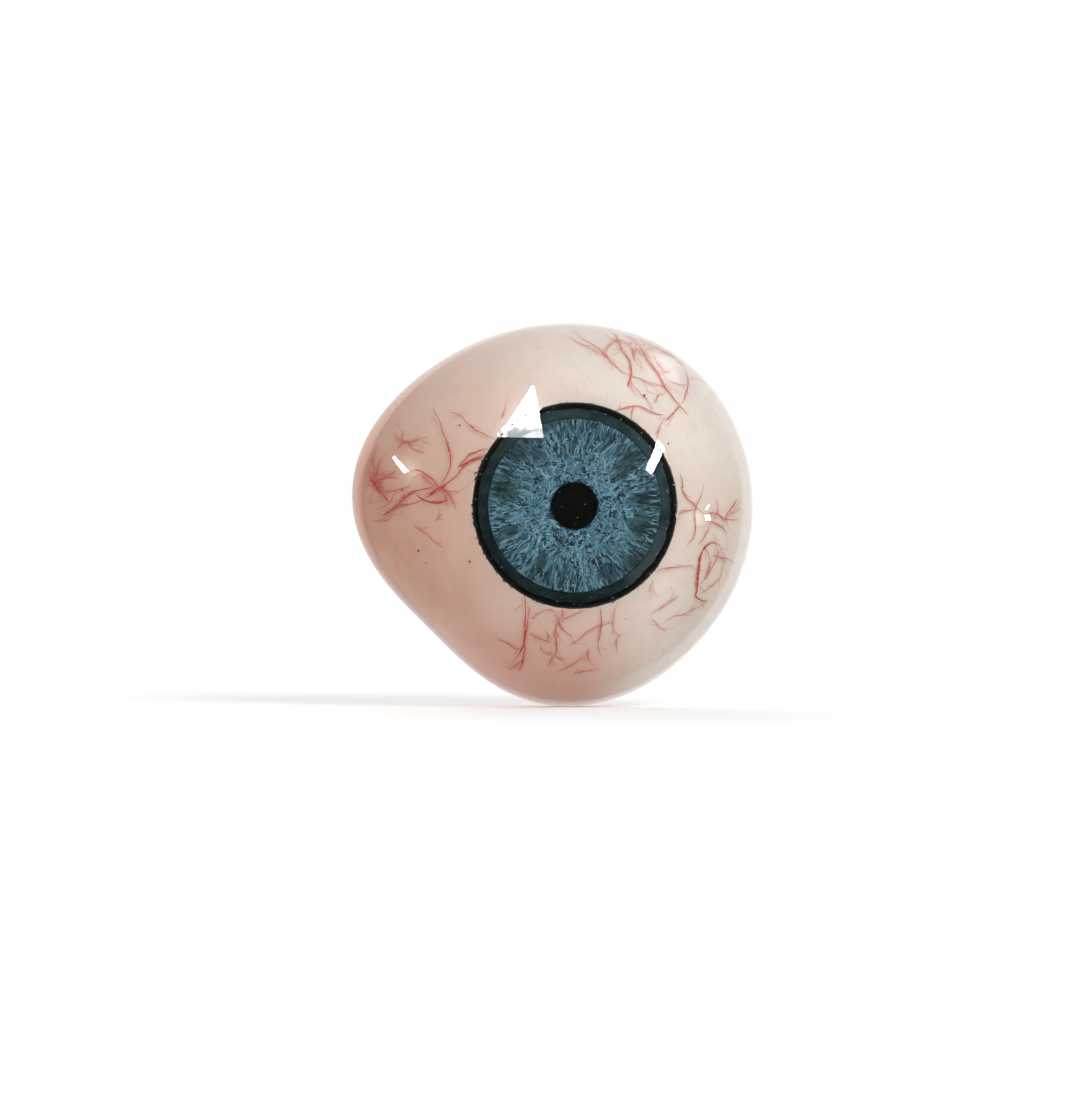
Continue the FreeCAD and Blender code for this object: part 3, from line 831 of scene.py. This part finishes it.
def make_limbus_paint():
    """Dark teal ring with painted light and shade: brighter at the top and right, nearly black below, and
    greyer at the lower right as a painted reflection.
    """
    material, tree = new_material("limbus_paint")
    spot = spot_in_millimetres(tree)
    radius, across, upward = polar(tree, spot)
    mottle = grain(tree, streaks(tree, across, upward, radius, 3.0, 1.0), 1.2, 4.0, 0.8)
    # Painted light: brighter towards the top and right, with random mottling
    painted_light = calc(tree, "MULTIPLY_ADD", across, 0.24, calc(tree, "MULTIPLY_ADD", upward, 0.22, 0.05))
    painted_light = calc(tree, "ADD", painted_light, ease(tree, mottle, 0.3, 0.7, 0.0, 0.6), clamp=True)
    colour = blend_colour(tree, painted_light, paint(12, 26, 28), paint(44, 66, 68))
    # Painted reflection: greyer at the lower right
    facing = calc(tree, "MULTIPLY_ADD", across, 0.84, times(tree, upward, -0.54))
    colour = blend_colour(tree, ease(tree, facing, 0.9, 0.97, 0.0, 0.8), colour, paint(60, 70, 72))
    surface = {
        "Base Color": colour, "Roughness": 0.5, "IOR": 1.2,
        "Normal": bump(tree, grain(tree, spot, 6.0, 3.0), 0.4, 0.03),
    }
    return finish_surface(material, surface)


def make_dark_paint(name, shade, second_shade, roughness):
    material, tree = new_material(name)
    spot = spot_in_millimetres(tree)
    colour = blend_colour(tree, grain(tree, spot, 5.0, 3.0), paint(*shade), paint(*second_shade))
    surface = {
        "Base Color": colour, "Roughness": roughness, "IOR": 1.15,
        "Normal": bump(tree, grain(tree, spot, 12.0, 2.0), 0.3, 0.02),
    }
    return finish_surface(material, surface)


def make_red_thread(name, shade, second_shade):
    """Teased red fibre, paler and pinker towards the top as painted light."""
    material, tree = new_material(name)
    spot = spot_in_millimetres(tree)
    height = add_node(tree, "ShaderNodeSeparateXYZ", {0: spot}).outputs[2]
    tone = grain(tree, spot, 2.2, 4.0, 0.5)
    colour = blend_colour(tree, ease(tree, tone, 0.3, 0.7), paint(*shade), paint(*second_shade))
    # Painted light: paler and pinker towards the top
    colour = blend_colour(tree, ease(tree, height, 4.0, 9.0, 0.0, 0.5), colour, paint(240, 150, 142))
    surface = {"Base Color": colour, "Roughness": 0.6, "IOR": 1.15}
    return finish_surface(material, surface)


def make_bubble():
    """Trapped air, which shows as a bright dot: a pale ball as a painted highlight for the light a bubble
    catches.
    """
    material, tree = new_material("bubble_painted_highlight")
    spot = spot_in_millimetres(tree)
    colour = blend_colour(tree, grain(tree, spot, 20.0), paint(190, 202, 202), paint(120, 136, 138))
    surface = {"Base Color": colour, "Roughness": 0.3}
    return finish_surface(material, surface)


# Pieces


def make_body(bonded, polished):
    """White body: recess, bed under the clear front, foot, edge roll, lip and hollow back."""
    bed_start = dome_angle_at(seat_front, core_inset)
    rings = [pole(recess_floor_front), even_ring(recess_radius, recess_floor_front)]
    rings += [even_ring(recess_radius, seat_front)]
    rings += dome_rings(core_inset, bed_start, dome_angle_at(parting_front, core_inset))
    inner_bands = len(rings) - 1
    rings += dome_rings(0.0, dome_angle_at(parting_front, 0.0), 90.0)
    for step in range(1, rim_steps + 1):
        slope = math.pi / 2 * step / rim_steps
        inward = rim_radius * (1 - math.cos(slope))
        front = equator_front - rim_radius * math.sin(slope)
        rings.append(ring(lambda turn, inward=inward, front=front: (reach(turn) - inward, front)))
    for step in range(lip_steps + 1):
        slope = bowl_lean * step / lip_steps
        inward = rim_radius + rim_land + lip_radius * math.sin(slope)
        front = rear_front + lip_radius * (1 - math.cos(slope))
        rings.append(ring(lambda turn, inward=inward, front=front: (reach(turn) - inward, front)))
    mouth_out = bowl_radius * math.sin(bowl_lean)
    even_wall = rim_radius + rim_land + lip_width
    for step in range(bowl_steps - 1, 0, -1):
        slope = bowl_lean * step / bowl_steps
        share = (step / bowl_steps) ** 2
        out, front = bowl_radius * math.sin(slope), bowl_radius * (math.cos(slope) - 1)
        rings.append(ring(lambda turn, out=out, front=front, share=share: (
            out + (reach(turn) - even_wall - mouth_out) * share, front)))
    rings.append(pole(0.0))
    slots = [0 if band < inner_bands else 1 for band in range(len(rings) - 1)]
    return add_skin("white_body", rings, [bonded, polished], slots)


def make_clear_front(clear, bond):
    """Clear shell with its bulge; its inner faces are bonded to the body."""
    rings = [pole(cornea_front)]
    for step in range(1, cornea_steps + 1):
        slope = ball_lean * step / cornea_steps
        out = cornea_radius * math.sin(slope)
        rings.append(even_ring(out, ball_front + cornea_radius * math.cos(slope)))
    for step in range(1, blend_steps):
        out = ball_edge + (dome_edge - ball_edge) * step / blend_steps
        rings.append(even_ring(out, -outer_spot(out, 0.0).y))
    rings += dome_rings(0.0, dome_start_angle, dome_angle_at(parting_front, 0.0))
    outer_bands = len(rings) - 1
    seat_angle = dome_angle_at(seat_front, cap_thickness)
    rings += dome_rings(cap_thickness, dome_angle_at(parting_front, cap_thickness), seat_angle)
    rings.append(pole(seat_front))
    slots = [0 if band < outer_bands else 1 for band in range(len(rings) - 1)]
    return add_skin("clear_shell", rings, [clear, bond], slots)


def ragged(radius, turn, amount, seed):
    """Radius with small frays, the same at every run."""
    coarse = noise.noise(Vector((math.cos(turn) * 6, math.sin(turn) * 6, seed)))
    fine = noise.noise(Vector((math.cos(turn) * 24, math.sin(turn) * 24, seed + 5)))
    return radius + amount * (coarse + 0.8 * fine)


def make_plate(name, inner, outer, back, front, material, inner_fray=0.0, outer_fray=0.0, relief=0.0):
    """Round plate or ring with frayed edges and a slightly uneven face."""
    def edge(radius, fray, level, seed):
        return ring(lambda turn: (ragged(radius, turn, fray, seed), level))

    outer_seed = 3.0
    inner_seed = 9.0
    rings = []
    for step in range(plate_steps + 1):
        share = step / plate_steps
        radius = inner + (outer - inner) * share
        fray = inner_fray + (outer_fray - inner_fray) * share
        if radius == 0.0:
            rings.append(pole(front))
            continue
        circle = edge(radius, fray, front - relief, outer_seed if share > 0.5 else inner_seed)
        for point in circle:
            lift = noise.noise(Vector((point.x * 3.1, point.z * 3.1, 2.0)))
            point.y -= relief * lift
        rings.append(circle)
    rings.append(edge(outer, outer_fray, back, outer_seed))
    if inner == 0.0:
        rings.append(pole(back))
    else:
        rings.append(edge(inner, inner_fray, back, inner_seed))
        rings.append(rings[0])
    return note_patches(add_skin(name, rings, [material]))


def dark_patch(x, z):
    """0 where the iris is light, 1 in its dark patches, which run outward."""
    out = math.hypot(x, z)
    turn = math.atan2(z, x)
    total = 0.0
    for degrees, distance, half_length, half_width in dark_patches:
        away = math.remainder(turn - math.radians(degrees), 2 * math.pi) * out / half_width
        along = (out - distance) / half_length
        total += math.exp(-away * away - along * along)
    lean = Vector((x / max(out, 0.1) * 3.6, z / max(out, 0.1) * 3.6, out * 0.8))
    outward = smooth_step((out - 2.0) / 1.2)
    return min(max(total + outward * (0.12 + 1.1 * noise.noise(lean)), 0.0), 1.0)


def note_patches(made):
    """Stores on each point how dark the iris is there, for the paint to read."""
    store = made.data.attributes.new("patch", "FLOAT", "POINT")
    for point in made.data.vertices:
        x, z = point.co.x / millimetre, point.co.z / millimetre
        store.data[point.index].value = dark_patch(x, z)
    return made


def disc_point(radius, turn):
    """x and z at a distance from the line of sight and a turn from 3 o'clock."""
    return radius * math.cos(turn), radius * math.sin(turn)


def add_stroke(points, faces, start, heading, length, width, bend, front, rise):
    """Raised brush stroke: a narrow ridge that tapers at both ends."""
    first = len(points)
    cuts = 6
    x, z = start
    for cut in range(cuts):
        share = cut / (cuts - 1)
        direction = heading + bend * (share - 0.5)
        half = width / 2 * (0.35 + 0.65 * math.sin(math.pi * share) ** 0.4)
        side_x, side_z = -math.sin(direction) * half, math.cos(direction) * half
        points.append(Vector((x + side_x, -front + rise, z + side_z)))
        points.append(Vector((x, -front - rise, z)))
        points.append(Vector((x - side_x, -front + rise, z - side_z)))
        x += math.cos(direction) * length / (cuts - 1)
        z += math.sin(direction) * length / (cuts - 1)
    for cut in range(cuts - 1):
        low = first + 3 * cut
        faces.append((low, low + 1, low + 4, low + 3))
        faces.append((low + 1, low + 2, low + 5, low + 4))


def tangled_stroke():
    """Short curled stroke of the inner iris: start, heading, length, width, bend."""
    radius = math.sqrt(chance.uniform(pupil_radius ** 2, 3.2 ** 2))
    turn = chance.uniform(0, 2 * math.pi)
    heading = turn + chance.gauss(0, 1.3)
    length = chance.uniform(0.25, 0.65)
    return radius, turn, heading, length, chance.uniform(0.08, 0.14), chance.gauss(0, 1.0)


def radial_stroke():
    """Longer stroke of the outer iris, which runs outward."""
    radius = math.sqrt(chance.uniform(2.2 ** 2, (iris_radius - 0.1) ** 2))
    turn = chance.uniform(0, 2 * math.pi)
    heading = turn + chance.gauss(0, 0.22)
    length = chance.uniform(0.35, 1.3)
    return radius, turn, heading, length, chance.choice((0.06, 0.09, 0.13, 0.18)), chance.gauss(0, 0.4)


def crease_stroke():
    """Fine line over the other strokes, which runs outward near the ring."""
    radius = math.sqrt(chance.uniform(pupil_radius ** 2, (iris_radius - 0.2) ** 2))
    turn = chance.uniform(0, 2 * math.pi)
    heading = turn + chance.gauss(0, 1.1 - 0.9 * smooth_step((radius - 2.0) / 1.2))
    length = chance.uniform(0.15, 0.3) * radius / 2
    return radius, turn, heading, length, chance.uniform(0.02, 0.04), chance.gauss(0, 0.7)


def make_strokes(name, pick, tries, share, patch_loss, materials, lift):
    """Brush strokes, each over a wider dark one; this share of the tries is kept, less in dark patches."""
    points = []
    faces = []
    slots = []
    for _ in range(tries):
        radius, turn, heading, length, width, bend = pick()
        level = iris_front + lift + chance.uniform(0.01, 0.06)
        start = Vector(disc_point(radius, turn))
        way = Vector(disc_point(1.0, heading))
        length = min(length, max(0.12, iris_radius - radius))
        end = start + way * length
        crosses = min(end.length, (start + end).length / 2) < pupil_radius * 0.97
        if crosses or end.length > iris_radius:
            continue
        if chance.random() > share - patch_loss * dark_patch(*start):
            continue
        edge_width = width + chance.uniform(0.03, 0.055)
        add_stroke(points, faces, start, heading, length, edge_width, bend, level - 0.05 * width, 0.0)
        slots += [1] * (len(faces) - len(slots))
        add_stroke(points, faces, start, heading, length, width, bend, level, 0.05 * width)
        slots += [0] * (len(faces) - len(slots))
    return note_patches(add_object(name, points, faces, materials, slots))


def make_glints(material):
    """Painted glints: tiny bright flecks of paint in place of sparkles of light on the strokes."""
    points = []
    faces = []
    for _ in range(glint_count):
        radius = math.sqrt(chance.uniform(pupil_radius ** 2, iris_radius ** 2))
        start = disc_point(radius, chance.uniform(0, 2 * math.pi))
        heading = chance.uniform(0, 2 * math.pi)
        length = chance.uniform(0.05, 0.14)
        width = chance.uniform(0.02, 0.045)
        add_stroke(points, faces, start, heading, length, width, 0.5, iris_front + 0.11, 0.006)
    return note_patches(add_object("iris_glints", points, faces, [material]))


def make_edge_frays(material):
    """Black flecks along the torn edge of the disc."""
    points = []
    faces = []
    for _ in range(fray_count):
        turn = chance.uniform(0, 2 * math.pi)
        radius = backing_radius - 0.03 + abs(chance.gauss(0, 0.07))
        heading = turn + math.pi / 2 + chance.gauss(0, 0.8)
        length = chance.uniform(0.06, 0.26)
        width = chance.uniform(0.04, 0.11)
        start = disc_point(radius, turn)
        add_stroke(points, faces, start, heading, length, width, 0.4, seat_front + 0.02, 0.01)
    return add_object("edge_frays", points, faces, [material])


def follow(way, spacing):
    """Smooth line through the points of a way, sampled evenly."""
    ends = [way[0], *way, way[-1]]
    line = []
    for index in range(len(way) - 1):
        before, near, far, after = (Vector(ends[index + shift]) for shift in range(4))
        cuts = max(2, math.ceil((far - near).length / spacing))
        for cut in range(cuts):
            t = cut / cuts
            line.append(0.5 * (
                2 * near + (far - before) * t
                + (2 * before - 5 * near + 4 * far - after) * t * t
                + (3 * near - 3 * far + after - before) * t * t * t))
    line.append(Vector(way[-1]))
    return line


def add_filament(points, faces, line, width, seed, wander):
    """One fibre on the bed, thick in the middle and fine at its ends."""
    first = len(points)
    sides = 6
    inset = core_inset - fibre_level
    count = len(line)
    for index, spot in enumerate(line):
        ahead = line[min(index + 1, count - 1)] - line[max(index - 1, 0)]
        across = Vector((-ahead.y, ahead.x)).normalized()
        drift = noise.noise(Vector((index * 0.16, seed * 3.7, 0.0)))
        x, z = spot + across * drift * wander
        share = index / (count - 1)
        size = 0.45 + 0.55 * math.sin(math.pi * share) ** 0.5
        size *= 1 + 0.5 * noise.noise(Vector((index * 0.3, seed, 4.0)))
        centre = bed_spot(x, z, inset)
        normal = bed_normal(x, z, inset)
        forward = Vector((ahead.x, 0.0, ahead.y))
        side = forward.cross(normal).normalized()
        for corner in range(sides):
            turn = 2 * math.pi * corner / sides
            half_rise = min(width, fibre_thickness) / 2
            offset = side * math.cos(turn) * width / 2 + normal * math.sin(turn) * half_rise
            points.append(centre + offset * size)
    for index in range(count - 1):
        low = first + index * sides
        for corner in range(sides):
            after = (corner + 1) % sides
            faces.append((low + corner, low + after, low + sides + after, low + sides + corner))
    faces.append(tuple(range(first, first + sides)))
    last = first + (count - 1) * sides
    faces.append(tuple(range(last + sides - 1, last - 1, -1)))


def within_bed(spot):
    """True where a fibre would lie between the disc and the edge of the bed."""
    furthest = dome_spot(last_fibre_angle, math.atan2(spot.y, spot.x), core_inset)[0]
    return backing_radius + 0.1 < spot.length < furthest


def teased_part(line):
    """Stretch of a strand along which a finer fibre runs."""
    start = chance.randrange(0, max(1, len(line) // 2))
    end = chance.randrange(len(line) // 2, len(line) + 1)
    return line[start:max(end, start + 3)]


def side_hair(line):
    """Short curved way that leaves a strand to one side."""
    start = chance.randrange(0, len(line) - 1)
    along = line[start + 1] - line[start]
    side = chance.choice((-1, 1))
    heading = math.atan2(along.y, along.x) + side * chance.uniform(0.3, 0.9)
    reach_out = chance.uniform(0.3, 0.9)
    bend = chance.gauss(0, 0.5)
    hair = [line[start]]
    for _ in range(max(3, math.ceil(reach_out / fibre_spacing))):
        heading += bend * fibre_spacing
        hair.append(hair[-1] + Vector((math.cos(heading), math.sin(heading))) * fibre_spacing)
    return hair


def make_tuft(name, materials):
    """Tuft of fibres: each strand is a main fibre with finer ones teased out beside it and off it."""
    points = []
    faces = []
    slots = []
    for width, way in fibres[name]:
        spots = [bed_hit(pixel, core_inset - fibre_level) for pixel in way]
        line = follow([(spot.x, spot.z) for spot in spots], fibre_spacing)
        add_filament(points, faces, line, width * 0.52 - 0.012, chance.uniform(0, 90), 0.04)
        slots += [0] * (len(faces) - len(slots))
        for _ in range(teased_per_strand):
            part = teased_part(line)
            if len(part) > 2:
                add_filament(points, faces, part, width * 0.2 + 0.008, chance.uniform(0, 90), 0.2)
        for _ in range(hairs_per_strand):
            hair = side_hair(line)
            if all(within_bed(spot) for spot in hair):
                add_filament(points, faces, hair, hair_width, chance.uniform(0, 90), 0.05)
        slots += [1] * (len(faces) - len(slots))
    return add_object(name + "_fibres", points, faces, materials, slots)


def add_ball(points, faces, centre, radius, seed):
    """Small uneven ball."""
    first = len(points)
    rows, columns = 5, 8
    points.append(centre + Vector((0, 0, radius)))
    for row in range(1, rows):
        lean = math.pi * row / rows
        for column in range(columns):
            turn = 2 * math.pi * column / columns
            flat = math.sin(lean)
            way = Vector((flat * math.cos(turn), flat * math.sin(turn), math.cos(lean)))
            swell = noise.noise(way * 2 + Vector((seed, 0, 0)))
            points.append(centre + way * radius * (1 + 0.35 * swell))
    points.append(centre - Vector((0, 0, radius)))
    last = len(points) - 1
    for column in range(columns):
        after = (column + 1) % columns
        faces.append((first, first + 1 + column, first + 1 + after))
        faces.append((last, last - columns + after, last - columns + column))
    for row in range(rows - 2):
        low = first + 1 + row * columns
        for column in range(columns):
            after = (column + 1) % columns
            faces.append((low + column, low + after, low + columns + after, low + columns + column))


def make_specks(material):
    """Dark dust trapped under the clear front."""
    points = []
    faces = []
    for pixel, radius in specks:
        inset = core_inset - radius - 0.02
        add_ball(points, faces, bed_hit(pixel, inset), radius, pixel[0])
    return add_object("dark_specks", points, faces, [material])


def make_red_flecks(material):
    """Red lint between the fibres."""
    points = []
    faces = []
    made = 0
    while made < fleck_count:
        turn = chance.uniform(0, 2 * math.pi)
        away = chance.uniform(backing_radius, 11.0)
        spot = Vector(disc_point(away, turn))
        if within_bed(spot):
            centre = bed_spot(spot.x, spot.y, core_inset - fibre_level)
            add_ball(points, faces, centre, chance.uniform(0.01, 0.03), away)
            made += 1
    return add_object("red_flecks", points, faces, [material])


def make_bubbles(material):
    """Tiny bubbles along the frayed edge of the disc, and a few over the iris and pupil."""
    points = []
    faces = []
    for index in range(edge_bubble_count + inner_bubble_count):
        at_edge = index < edge_bubble_count
        radius = chance.gauss(ring_radius, 0.25) if at_edge else chance.uniform(0.3, 4.4)
        x, z = disc_point(radius, chance.uniform(0, 2 * math.pi))
        size = chance.uniform(0.012, 0.035) if at_edge else chance.uniform(0.01, 0.022)
        add_ball(points, faces, Vector((x, -seat_front - 0.03, z)), size, radius)
    return add_object("trapped_bubbles", points, faces, [material])


def add_shell():
    """White body and its clear front."""
    bonded = make_white_resin("white_resin_bonded", 0.45, 0.2)
    polished = make_white_resin("white_resin_polished", 0.12, 0.05)
    keep(make_body(bonded, polished), "white_resin", "scleral_base")
    keep(make_clear_front(make_clear_resin(), make_bond()), "clear_resin", "clear_front")


def add_disc(black):
    """Black disc with its torn edge, teal ring and ground of the iris."""
    disc = make_plate("black_disc", 0.0, backing_radius - backing_fray, recess_floor_front, backing_front,
                      black, outer_fray=backing_fray)
    keep(disc, "black_paint", "iris_backing_disc")
    keep(make_edge_frays(black), "black_paint")
    band = make_plate("teal_ring", iris_radius + ring_gap, ring_radius - ring_inset, iris_back, iris_front,
                      make_limbus_paint(), outer_fray=ring_fray, relief=ring_relief)
    keep(band, "limbus_paint", "limbus_ring")
    ground = make_plate("iris_face", 0.0, iris_radius, iris_back, iris_front - ground_depth,
                        make_iris_paint(), outer_fray=ground_fray, relief=ground_relief)
    keep(ground, "iris_paint", "iris_disc")


def add_strokes():
    """Brush strokes of the iris, coarse ones first, and its painted glints."""
    inner_light = make_stroke_paint(
        "inner_light_strokes", [(72, 116, 136), (92, 138, 160), (126, 172, 192)])
    outer_light = make_stroke_paint("outer_light_strokes", [(46, 76, 84), (76, 116, 130), (116, 160, 178)])
    inner_edges = make_stroke_paint("inner_stroke_edges", [(16, 38, 46), (28, 56, 68), (44, 78, 92)])
    outer_edges = make_stroke_paint("outer_stroke_edges", [(14, 32, 36), (26, 50, 56), (40, 68, 74)])
    bright = make_stroke_paint("bright_strokes", [(118, 162, 182), (148, 190, 208), (172, 206, 220)])
    # Name, kind, tries, share kept, share lost in dark patches, paint, edge paint and lift
    layers = [
        ("iris_radial_strokes", radial_stroke, radial_tries, 0.95, 0.8, outer_light, outer_edges, 0.0),
        ("iris_tangled_strokes", tangled_stroke, tangled_tries, 1.0, 0.8, inner_light, inner_edges, 0.0),
        ("iris_creases", crease_stroke, crease_tries, 0.8, 0.0, outer_edges, outer_edges, 0.04),
        ("iris_bright_strokes", crease_stroke, bright_tries, 0.9, 0.6, bright, inner_edges, 0.04),
    ]
    for name, pick, tries, share, patch_loss, light, edges, lift in layers:
        made = make_strokes(name, pick, tries, share, patch_loss, [light, edges], lift)
        keep(made, "iris_paint")
    # Painted glints: bright flecks in place of sparkles of light on the strokes
    keep(make_glints(make_stroke_paint("glints", [(150, 190, 206), (200, 222, 230)])), "iris_paint")


def add_pupil():
    material = make_dark_paint("pupil_paint", (0, 1, 0), (3, 3, 3), 0.5)
    plate = make_plate("pupil_face", 0.0, pupil_radius, pupil_back, pupil_front, material,
                       outer_fray=pupil_fray)
    keep(plate, "pupil_paint", "pupil_disc")


def add_fibres(black):
    """Red fibres, and the lint, specks and bubbles trapped with them."""
    red = make_red_thread("red_thread", (178, 36, 32), (204, 84, 74))
    pale_red = make_red_thread("pale_red_thread", (206, 92, 80), (226, 138, 126))
    for name in fibres:
        keep(make_tuft(name, [red, pale_red]), "red_thread", name)
    keep(make_red_flecks(red), "red_thread")
    keep(make_specks(black), "black_paint")
    keep(make_bubbles(make_bubble()), "clear_resin")


# Camera and light


def make_camera():
    data = bpy.data.cameras.new("camera")
    data.sensor_width = 36.0
    data.lens = data.sensor_width * camera_distance / (picture_height * millimetres_per_pixel)
    data.clip_start = 0.01
    data.clip_end = 10.0
    camera = bpy.data.objects.new("camera", data)
    bpy.context.scene.collection.objects.link(camera)
    camera.location = camera_place() * millimetre
    camera.rotation_mode = "QUATERNION"
    camera.rotation_quaternion = camera_axes()[1].to_track_quat("-Z", "Y")
    bpy.context.scene.camera = camera


def make_world():
    """White behind the eye and in its edges, a darker room in front, and a softer level for lighting."""
    world = bpy.data.worlds.new("studio")
    world.use_nodes = True
    tree = world.node_tree
    tree.nodes.clear()
    path = add_node(tree, "ShaderNodeLightPath").outputs
    ways = add_node(tree, "ShaderNodeTexCoord").outputs["Generated"]
    behind = add_node(tree, "ShaderNodeSeparateXYZ", {0: ways}).outputs[1]
    in_gloss = ease(tree, behind, 0.1, 0.9, 0.02, 0.86)
    seen = calc(tree, "MAXIMUM", path["Is Camera Ray"], path["Is Transmission Ray"])
    strength = calc(tree, "MULTIPLY_ADD", seen, 0.45, 0.55)
    gloss_share = calc(tree, "SUBTRACT", path["Is Glossy Ray"], seen, clamp=True)
    plain_share = calc(tree, "SUBTRACT", 1.0, gloss_share)
    strength = calc(tree, "MULTIPLY_ADD", gloss_share, in_gloss, times(tree, strength, plain_share))
    sky = add_node(tree, "ShaderNodeBackground", {0: (1.0, 1.0, 1.0, 1.0), 1: strength})
    tree.links.new(sky.outputs[0], add_node(tree, "ShaderNodeOutputWorld").inputs[0])
    bpy.context.scene.world = world


def make_lamp(name, place, size, level):
    """Square soft lamp aimed at the eye; level is how much it adds to a surface facing it."""
    data = bpy.data.lights.new(name, "AREA")
    data.size = size * millimetre
    distance = Vector(place).length * millimetre
    data.energy = math.pi ** 2 * distance ** 2 * level
    lamp = bpy.data.objects.new(name, data)
    bpy.context.scene.collection.objects.link(lamp)
    lamp.location = Vector(place) * millimetre
    lamp.rotation_mode = "QUATERNION"
    lamp.rotation_quaternion = (-Vector(place)).to_track_quat("-Z", "Y")
    lamp.visible_glossy = False
    lamp.visible_transmission = False


def make_glow(name, strength, unevenness):
    """Glow of a highlight, fading where its sheet is soft, and uneven like a clouded window."""
    material, tree = new_material(name)
    spot = spot_in_millimetres(tree)
    softness = add_node(tree, "ShaderNodeAttribute", attribute_name="softness").outputs["Fac"]
    cloud = ease(tree, grain(tree, spot, 1.6, 2.0, 0.4), 0.42, 0.58, 1.0 - unevenness, 1.0)
    level = times(tree, times(tree, softness, strength), cloud)
    glow = add_node(tree, "ShaderNodeEmission", {"Color": (1.0, 1.0, 1.0, 1.0), "Strength": level})
    behind = add_node(tree, "ShaderNodeBsdfTransparent")
    both = add_node(tree, "ShaderNodeAddShader", {0: glow.outputs[0], 1: behind.outputs[0]})
    show(tree, both.outputs[0])
    return material


def make_highlight(name, corners, material, soft=False, low_level=1.0):
    """Bright sheet just over the surface whose reflection covers these corners of the picture."""
    low_left, high_left, high_right, low_right = (Vector(corner) for corner in corners)
    points = []
    levels = []
    for row in range(sheet_cuts + 1):
        for column in range(sheet_cuts + 1):
            along, up = column / sheet_cuts, row / sheet_cuts
            low = low_left.lerp(low_right, along)
            high = high_left.lerp(high_right, along)
            spot, way = outer_hit(low.lerp(high, up))
            points.append(spot + way.reflect(outer_normal(spot.x, spot.z)) * highlight_height)
            fade = 16 * along * (1 - along) * up * (1 - up)
            from_below = low_level + (1 - low_level) * smooth_step(2.6 * up)
            levels.append(smooth_step(fade) if soft else from_below)
    faces = []
    for row in range(sheet_cuts):
        for column in range(sheet_cuts):
            here = row * (sheet_cuts + 1) + column
            above = here + sheet_cuts + 1
            faces.append((here, here + 1, above + 1, above))
    sheet = add_object(name, points, faces, [material])
    store = sheet.data.attributes.new("softness", "FLOAT", "POINT")
    for index, level in enumerate(levels):
        store.data[index].value = level
    sheet.visible_camera = False
    sheet.visible_diffuse = False
    sheet.visible_transmission = False
    sheet.visible_shadow = False


def make_floor(level):
    """Pale floor that shows white and keeps the eye's shadow."""
    material, tree = new_material("pale_floor")
    spot = spot_in_millimetres(tree)
    tone = blend_colour(tree, grain(tree, spot, 0.02), (0.9, 0.9, 0.9, 1.0), (0.92, 0.92, 0.92, 1.0))
    matte = add_node(tree, "ShaderNodeBsdfDiffuse", {"Color": tone}).outputs[0]
    path = add_node(tree, "ShaderNodeLightPath").outputs
    seen = calc(tree, "MAXIMUM", path["Is Camera Ray"], path["Is Transmission Ray"])
    away = add_node(tree, "ShaderNodeVectorMath", {0: spot}, operation="LENGTH").outputs["Value"]
    lift = ease(tree, away, 20.0, 160.0, 0.2, 0.5)
    glow = add_node(tree, "ShaderNodeEmission", {"Strength": times(tree, seen, lift)}).outputs[0]
    show(tree, add_node(tree, "ShaderNodeAddShader", {0: matte, 1: glow}).outputs[0])
    half = 3000.0
    corners = ((-half, -half), (half, -half), (half, half), (-half, half))
    points = [Vector((x, y, level)) for x, y in corners]
    floor = add_object("floor", points, [(0, 1, 2, 3)], [material])
    floor.visible_glossy = False


black = make_dark_paint("black_paint", (8, 10, 11), (20, 25, 25), 0.5)
add_shell()
add_disc(black)
add_strokes()
add_pupil()
add_fibres(black)

bpy.context.scene.view_settings.view_transform = "Standard"
make_camera()
make_world()
make_floor(cad_box[0].z / millimetre)
make_lamp("key_lamp", (150.0, -260.0, 210.0), 160.0, 0.42)
make_lamp("fill_lamp", (-180.0, -240.0, 40.0), 200.0, 0.12)
make_lamp("back_lamp", (-60.0, 300.0, 160.0), 240.0, 0.3)
window_glow = make_glow("window_glow", 50.0, 0.6)
for name, corners, low_level in window_highlights:
    make_highlight(name, corners, window_glow, low_level=low_level)
make_highlight("glare_sheet", glare_corners, make_glow("soft_glow", 2.4, 0.3), soft=True)
